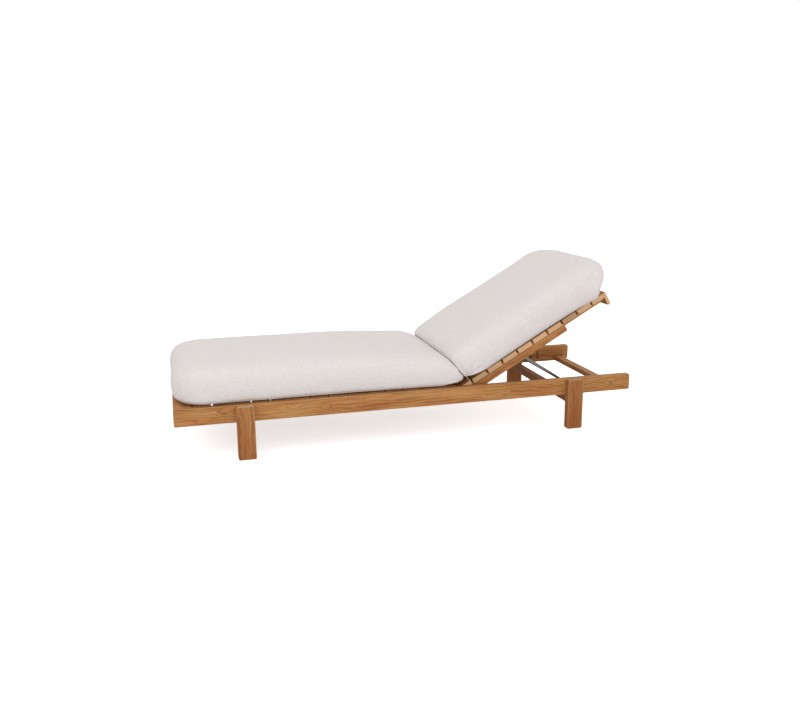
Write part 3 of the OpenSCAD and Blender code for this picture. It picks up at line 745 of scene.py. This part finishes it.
# Heights above the slats: zones of the side, and of the quarter round below it
BACK_TUCK_ZONE, UNDER_CURL_ZONE, UPPER_ZONE = (0, 0.040), (0, 0.09), (0.05, 0.07)
MIDDLE_FROM, MIDDLE_TO, ROUND_HEIGHT = (0.03, 0.05), (0.10, 0.05), 0.11
print(f"corners grow from {1000 * CAD_CORNER:.0f} to {1000 * CORNER:.0f} mm")

# %% Moves of the back cushion
def rounder(u, v):
    """How much a plan corner shrinks, seen from its centre, to go from CAD_CORNER to CORNER."""
    reach, straight = math.hypot(u, v), CORNER - CAD_CORNER
    if min(u, v) <= 0:
        return 1.0
    if min(u, v) * CORNER < max(u, v) * straight:
        return max(u, v) / reach
    shift = straight * (u + v) / reach
    return CORNER / (shift + math.sqrt(max(0.0, shift * shift - 2 * straight ** 2 + CAD_CORNER ** 2)))


def fill_back(co):
    """Moves a point of the back cushion, worked out in the back's own plane."""
    flat = UNTILT @ co
    high = flat.z - SLAT_TOP_ON_BACK
    at_crease = smooth_step(1 - (flat.x - CREASE_START) / CREASE_WIDTH)
    at_head = fade(flat.x - HEAD_END, *HEAD_ZONE)
    drop = max(0.0, min(1.0, 1 - high / ROUND_HEIGHT))
    low, upper = 1 - math.sqrt(1 - drop * drop), fade(high, *UPPER_ZONE)
    middle = fade(high, *MIDDLE_FROM) * (1 - fade(high, *MIDDLE_TO))
    u, v = flat.x - HEAD_END + CORNER, abs(flat.y) - CUSHION_HALF + CORNER
    shrink = 1 - (1 - CORNER_TOP_EASE * upper) * (1 - rounder(u, v))
    if u > 0 and v > 0:
        flat.x += u * (shrink - 1)
        flat.y += math.copysign(v * (shrink - 1), flat.y)
    flat.x += at_crease * (BACK_TUCK * (1 - fade(high, *BACK_TUCK_ZONE)) - BACK_LEAN)
    flat.z += BACK_SWELL * fade(high, *TOP_ZONE) * fade(flat.x, *SWELL_ZONE)
    flat.z += HEAD_CURL * fade(flat.x - HEAD_END, *CURL_ZONE) * (1 - fade(high, *UNDER_CURL_ZONE))
    flat.x += at_head * (HEAD_TOP * upper + HEAD_MIDDLE * middle - HEAD_TUCK * low)
    return BACK @ flat


print(f"the head end curls up by {1000 * HEAD_CURL:.0f} mm")

# %% [markdown]
# Both cushions are made in the same order: copy, form, pressure, a light smoothing that takes
# the remesh's small steps away, and one subdivision for a fine silhouette.

# %% Make the cushions
LIES_ON = 0.004
SMOOTHING, SMOOTHING_ROUNDS = 0.5, 3


def cushion(node, name, fill, deck, facing):
    """The whole making of one cushion."""
    piece = fine_copy(node, name)
    for vert in piece.data.vertices:
        vert.co = fill(vert.co)
    stay_clear(piece, deck, facing)
    turn, level = deck
    blow_up(piece, lambda v: (turn @ v.co).z < level + LIES_ON)
    stay_clear(piece, deck, facing)
    smoother = piece.modifiers.new("smoother", "SMOOTH")
    smoother.factor, smoother.iterations = SMOOTHING, SMOOTHING_ROUNDS
    finer = piece.modifiers.new("finer", "SUBSURF")
    finer.levels = finer.render_levels = 1
    return keep_modified(piece)


seat_cushion = cushion("seat_cushion", "seat_cushion_cover", fill_seat, DECK_SEAT, 1)
back_cushion = cushion("back_cushion", "back_cushion_cover", fill_back, DECK_BACK, -1)
for piece in (seat_cushion, back_cushion):
    print(piece.name, len(piece.data.vertices), "points")

# %% [markdown]
# The cover is nearly smooth, but a hand would feel slow waves in it, and short folds gather at
# both ends of the crease, where the cushions' corners are squeezed. Both are small moves of the
# fine mesh along its own normals, because the pressure run irons out anything this short.

# %% Waves and folds in the covers
WAVE_HEIGHT, WAVE_SCALE = 0.0012, 5.0
FOLD_HEIGHT, FOLD_START, FOLD_REACH, FOLD_COUNT = 0.0034, 0.02, 0.075, 11
FOLD_WANDER, FOLD_WANDER_SCALE, FAR_SIDE_SHIFT = 0.35, 14, 1.3
FOLD_SIDE_ZONE = (-0.11, 0.08)
SEAT_FOLDS = (Vector((0.196, 0, 0.262)), 0.75)
BACK_FOLDS = (Vector((0.222, 0, 0.272)), 1.0)


def crumple(piece, folds, deck, facing):
    """Moves a cover along its normals: slow waves all over, folds that fan out from a corner."""
    corner, strength = folds
    half = max(abs(v.co.y) for v in piece.data.vertices)
    moves = []
    for vert in piece.data.vertices:
        co = vert.co
        wave = WAVE_HEIGHT * noise.noise(co * WAVE_SCALE)
        reach = math.hypot(co.x - corner.x, co.z - corner.z)
        near = fade(reach, 0, FOLD_START) * (1 - fade(reach, FOLD_START, FOLD_REACH))
        near *= fade(abs(co.y) - half, *FOLD_SIDE_ZONE)
        fan = math.atan2(co.z - corner.z, co.x - corner.x)
        fan += FOLD_WANDER * noise.noise(co * FOLD_WANDER_SCALE)
        turned = FOLD_COUNT * fan + (FAR_SIDE_SHIFT if co.y > 0 else 0)
        fold = strength * FOLD_HEIGHT * near * math.sin(turned)
        moves.append(co + vert.normal * (wave + fold))
    for vert, place in zip(piece.data.vertices, moves):
        vert.co = place
    stay_clear(piece, deck, facing)


crumple(seat_cushion, SEAT_FOLDS, DECK_SEAT, 1)
crumple(back_cushion, BACK_FOLDS, DECK_BACK, -1)
print(f"waves of {1000 * WAVE_HEIGHT:.1f} mm and folds of {1000 * FOLD_HEIGHT:.1f} mm")

# %% [markdown]
# A thin corded seam runs round each cushion just above the slats, where the cover's underside
# is sewn on. Its path has to follow the finished cover, and drawing it by hand would leave it
# floating or sunk in. So the cover is cut by a plane at the seam's height, and the cut's edges
# are walked in order.

# %% Where a plane cuts a cover
def cut_loop(piece, deck, height):
    """The longest loop where a cushion is cut by a plane at a height above its slats."""
    back_turn = deck[0].inverted()
    bm = bmesh.new()
    bm.from_mesh(piece.data)
    cut = bmesh.ops.bisect_plane(bm, geom=bm.verts[:] + bm.edges[:] + bm.faces[:],
                                 plane_co=back_turn @ Vector((0, 0, deck[1] + height)),
                                 plane_no=back_turn.to_3x3() @ Vector((0, 0, 1)))
    left = {e for e in cut["geom_cut"] if isinstance(e, bmesh.types.BMEdge)}
    loops = []
    while left:
        edge = min(left, key=lambda e: e.index)
        left.discard(edge)
        vert, points = edge.verts[1], [edge.verts[0].co.copy(), edge.verts[1].co.copy()]
        while True:
            onward = [e for e in vert.link_edges if e in left]
            if not onward:
                break
            left.discard(onward[0])
            vert = onward[0].other_vert(vert)
            points.append(vert.co.copy())
        loops.append(points)
    bm.free()
    return max(loops, key=len)


print("cut helper ready")

# %% [markdown]
# A cushion's underside doesn't lie flat to its very rim, so a narrow shadow runs between the
# seam and the slats. The rim is lifted by how near each low point is to the outline, which a
# search tree of the outline's points answers quickly.

# %% Lifted rims
RIM_LIFT, RIM_WIDTH, RIM_HEIGHT = 0.0075, 0.034, 0.03
OUTLINE_HEIGHT = 0.006


def lift_rim(piece, deck):
    """Lifts the rim of a cushion's underside off the slats."""
    turn, level = deck
    back_turn = turn.inverted()
    loop = cut_loop(piece, deck, OUTLINE_HEIGHT)
    near = KDTree(len(loop))
    for k, point in enumerate(loop):
        flat = turn @ point
        near.insert((flat.x, flat.y, 0), k)
    near.balance()
    for vert in piece.data.vertices:
        flat = turn @ vert.co
        high = flat.z - level
        if high < RIM_HEIGHT:
            inward = near.find((flat.x, flat.y, 0))[2]
            flat.z += RIM_LIFT * (1 - smooth_step(inward / RIM_WIDTH)) * (1 - smooth_step(high / RIM_HEIGHT))
            vert.co = back_turn @ flat


lift_rim(seat_cushion, DECK_SEAT)
lift_rim(back_cushion, DECK_BACK)
print("rims lifted by", 1000 * RIM_LIFT, "mm")

# %% [markdown]
# The cord itself is a curve with a round bevel, laid through points of the cut that are a
# little apart, so that it runs smoothly over the mesh's small steps.

# %% Corded seams
SEAM_HEIGHT, SEAM_RADIUS, SEAM_STEP = 0.0105, 0.0023, 0.012


def corded_seam(piece, name, deck):
    """A round cord along the cut loop, as a mesh."""
    points = cut_loop(piece, deck, SEAM_HEIGHT)
    kept = [points[0]]
    for point in points:
        if (point - kept[-1]).length > SEAM_STEP and (point - kept[0]).length > 0.5 * SEAM_STEP:
            kept.append(point)
    curve = bpy.data.curves.new(name + "_path", "CURVE")
    curve.dimensions = "3D"
    curve.bevel_depth, curve.bevel_resolution = SEAM_RADIUS, 2
    line = curve.splines.new("NURBS")
    line.points.add(len(kept) - 1)
    for target, point in zip(line.points, kept):
        target.co = (*point, 1)
    line.use_cyclic_u, line.order_u, line.resolution_u = True, 4, 2
    drawn = add_object(name + "_path", curve)
    bpy.context.view_layer.update()
    mesh = bpy.data.meshes.new_from_object(drawn.evaluated_get(bpy.context.evaluated_depsgraph_get()))
    bpy.data.objects.remove(drawn)
    print(name, len(kept), "points,", len(mesh.polygons), "faces")
    return add_object(name, mesh)


seat_seam = corded_seam(seat_cushion, "seat_cushion_seam", DECK_SEAT)
back_seam = corded_seam(back_cushion, "back_cushion_seam", DECK_BACK)

# %% [markdown]
# Each cover and its seam take smooth shading and their cloth, and their places are baked in.
# The CAD cushions are then hidden.

# %% Finish the cushions
for piece, material in ((seat_cushion, SEAT_CLOTH), (seat_seam, SEAT_CLOTH),
                        (back_cushion, BACK_CLOTH), (back_seam, BACK_CLOTH)):
    for face in piece.data.polygons:
        face.use_smooth = True
    piece.data.materials.clear()
    piece.data.materials.append(material)
    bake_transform(piece)
    print(piece.name, len(piece.data.polygons), "faces")
for piece, node in ((seat_cushion, "seat_cushion"), (back_cushion, "back_cushion")):
    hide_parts(node)

# %% [markdown]
# ## Floor, light and background
# The photograph is a soft studio cut-out on white. A wide pale floor, an even sky and two
# large soft lamps give that light. The floor that the camera sees is lifted to white by its
# own colour, apart from what it sends on to the object, so no lamp has to be turned up to
# bleach it, and the object's shadow stays.

# %% Floor
FLOOR_SIZE, FLOOR_GREY, FLOOR_LIFT = 30, 0.66, 0.6
WHITE = (1, 1, 1, 1)
bm = bmesh.new()
bmesh.ops.create_grid(bm, x_segments=1, y_segments=1, size=FLOOR_SIZE)
floor = add_object("floor", mesh_from(bm, "floor"))
material, tree, shader = new_material("pale_floor", 0.9, 0.1)
shader.inputs["Base Color"].default_value = (FLOOR_GREY, FLOOR_GREY, FLOOR_GREY, 1)
path = wire(tree, "ShaderNodeLightPath")
white = wire(tree, "ShaderNodeBsdfDiffuse", {"Color": WHITE})
lift = wire(tree, "ShaderNodeEmission", {"Color": WHITE, "Strength": FLOOR_LIFT})
both = wire(tree, "ShaderNodeAddShader", links={0: white.outputs[0], 1: lift.outputs[0]})
chosen = wire(tree, "ShaderNodeMixShader",
              links={0: path.outputs["Is Camera Ray"], 1: shader.outputs[0], 2: both.outputs[0]})
tree.links.new(chosen.outputs[0], tree.nodes["Material Output"].inputs["Surface"])
floor.data.materials.append(material)
print("floor", floor.dimensions[:])

# %% [markdown]
# The sky gives nearly all the light, from everywhere, as a white studio does. To the camera,
# and in the steel's reflections, it is plain white.

# %% Sky
SKY_COLOUR, SKY_STRENGTH = (1.0, 0.99, 0.985, 1), 0.925
world = bpy.data.worlds.new("studio")
scene.world = world
world.use_nodes = True
tree = world.node_tree
sky = tree.nodes["Background"]
sky.inputs["Color"].default_value = SKY_COLOUR
sky.inputs["Strength"].default_value = SKY_STRENGTH
path = wire(tree, "ShaderNodeLightPath")
backdrop = wire(tree, "ShaderNodeBackground", {"Color": WHITE, "Strength": 1.0})
seen = sums(tree, "MAXIMUM", path.outputs["Is Camera Ray"],
            sums(tree, "MAXIMUM", path.outputs["Is Glossy Ray"], path.outputs["Is Transmission Ray"]))
chosen = wire(tree, "ShaderNodeMixShader", links={0: seen, 1: sky.outputs[0], 2: backdrop.outputs[0]})
tree.links.new(chosen.outputs[0], tree.nodes["World Output"].inputs["Surface"])
print("sky strength", SKY_STRENGTH)

# %% [markdown]
# Two soft lamps shape it: a weak one high over the foot end, and a broad one low in front,
# which lightens the near sides as the photograph has them.

# %% Lamps
LOOK_AT = (0, 0, 0.3)


def soft_lamp(name, place, target, size, watts):
    """A square area lamp that looks at a point."""
    lamp = add_object(name, bpy.data.lights.new(name, "AREA"))
    lamp.data.size, lamp.data.energy = size, watts
    lamp.location = place
    lamp.rotation_euler = (Vector(target) - Vector(place)).to_track_quat("-Z", "Y").to_euler()


soft_lamp("key", (-2.2, -3.0, 3.6), LOOK_AT, 3.0, 12)
soft_lamp("front_fill", (-0.8, -5.1, 1.3), LOOK_AT, 2.6, 50)
scene.view_settings.view_transform = "Standard"

# %% [markdown]
# ## Finish
# The dressed object has to stay in the CAD model's box, apart from what cloth may stand proud.

# %% Finish
bpy.context.view_layer.update()
